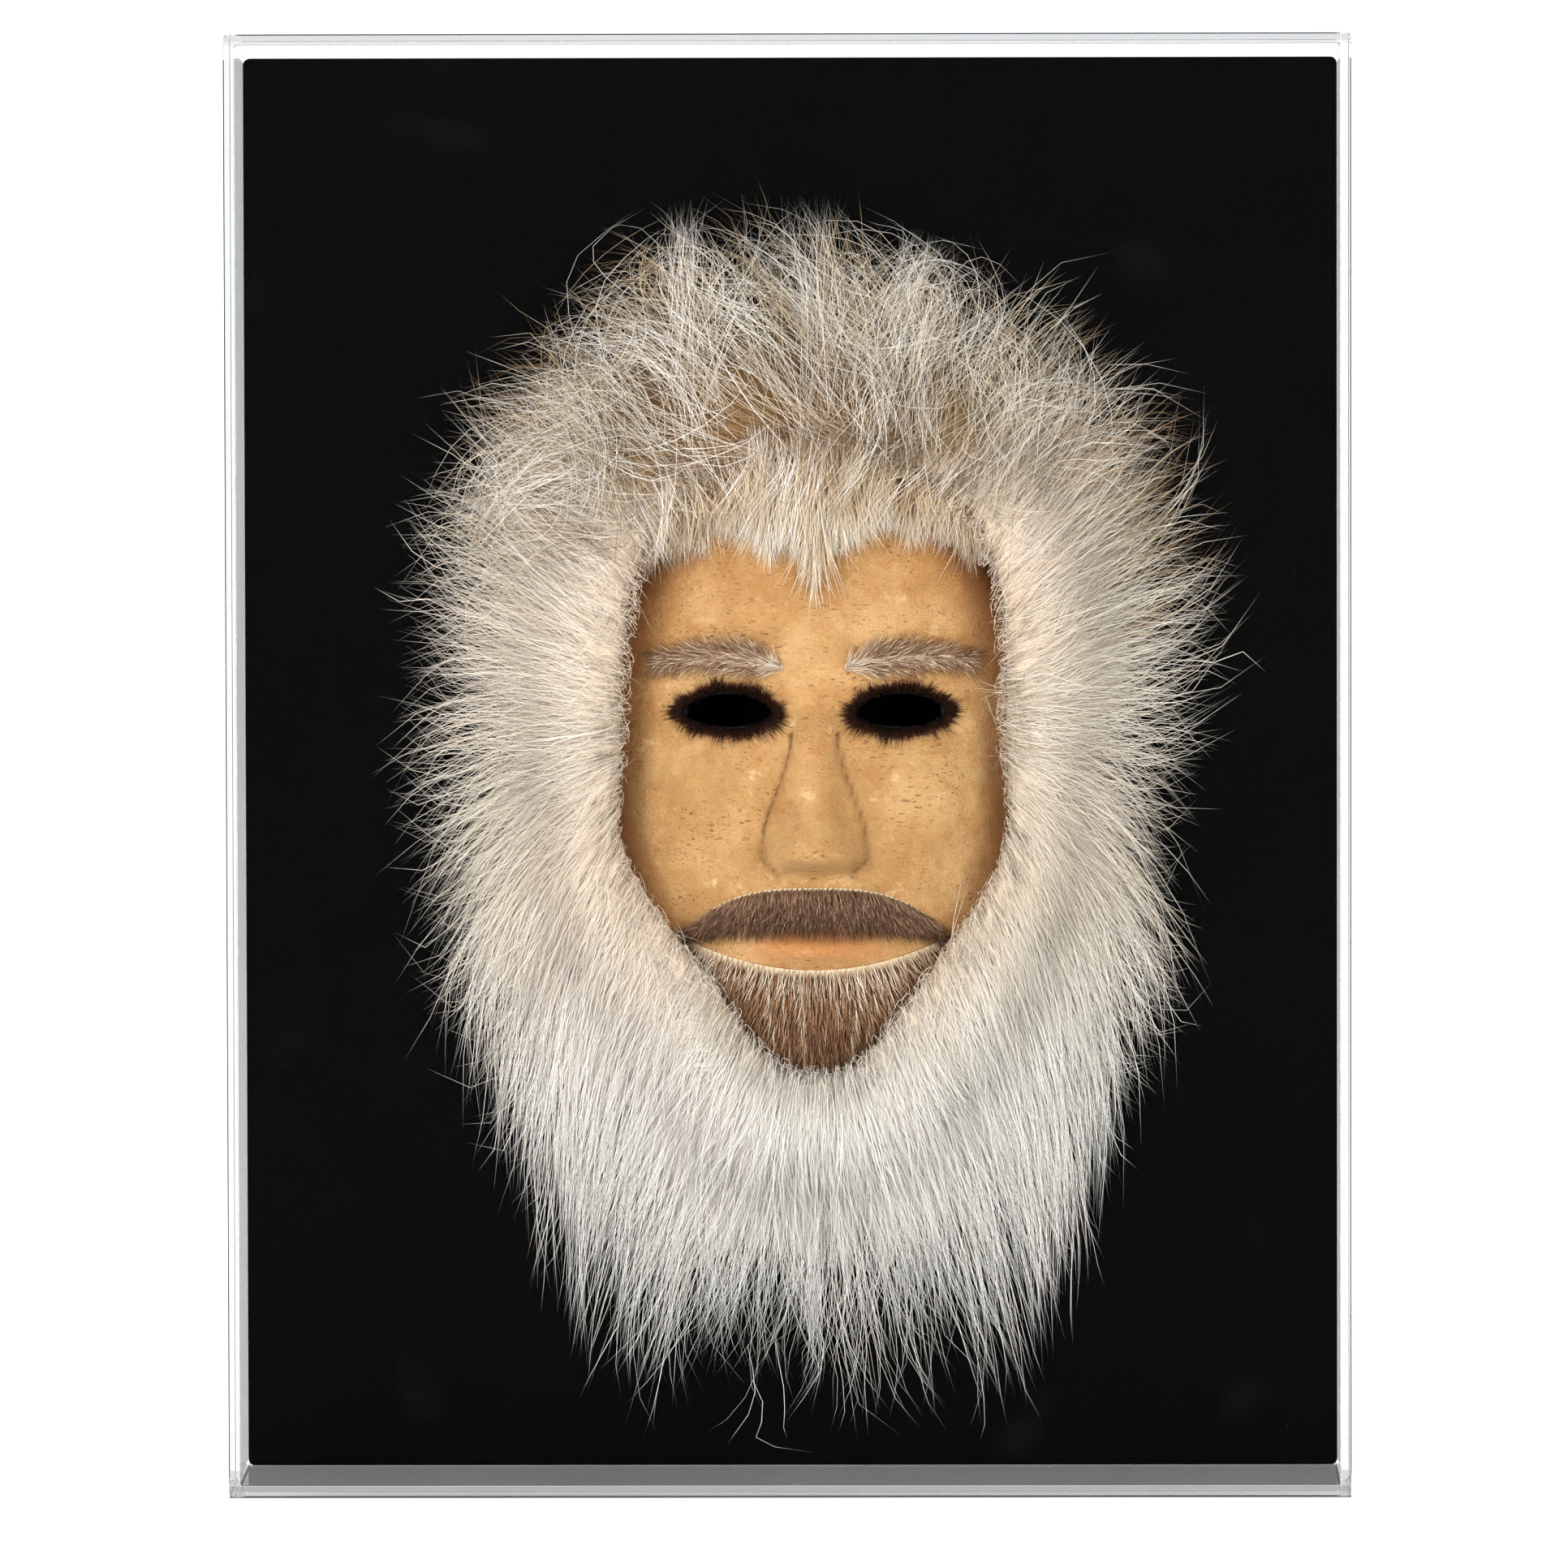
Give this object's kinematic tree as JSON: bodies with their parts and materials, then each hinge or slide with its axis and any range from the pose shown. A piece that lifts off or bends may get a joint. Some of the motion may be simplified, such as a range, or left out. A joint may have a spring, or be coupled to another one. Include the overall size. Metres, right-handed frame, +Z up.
{
  "type": "display-cased fur-trimmed face mask",
  "caption": "Moulded hide face mask with hair brows, moustache and beard and a deep fur ruff, fixed to a velvet board in a clear acrylic box case.",
  "frame": {"origin": "middle of the underside of the case", "axes": "+Z up, the face looks along -Y, +X to the viewer's right"},
  "size_m": [0.362, 0.076, 0.4714],
  "materials": {
    "clear_acrylic": "clear, polished",
    "black_velvet": "velvet",
    "tanned_hide": "satin",
    "dark_hair": "short hair",
    "brow_hair": "short hair",
    "taupe_hair": "short hair",
    "brown_hair": "short hair",
    "tan_hair": "short hair",
    "cream_hair": "short hair",
    "ruff_fur": "long fur"
  },
  "bodies": {
    "root": {"acrylic_cover": "clear_acrylic", "velvet_board": "black_velvet", "hide_face": "tanned_hide", "eye_rim_left": "dark_hair", "eye_rim_right": "dark_hair", "eyebrow_left": "brow_hair", "eyebrow_right": "brow_hair", "moustache": "taupe_hair", "beard": "brown_hair", "forelock_left": "tan_hair", "forelock_middle": "cream_hair", "forelock_right": "tan_hair", "fur_ruff": "ruff_fur"}
  },
  "joints": []
}
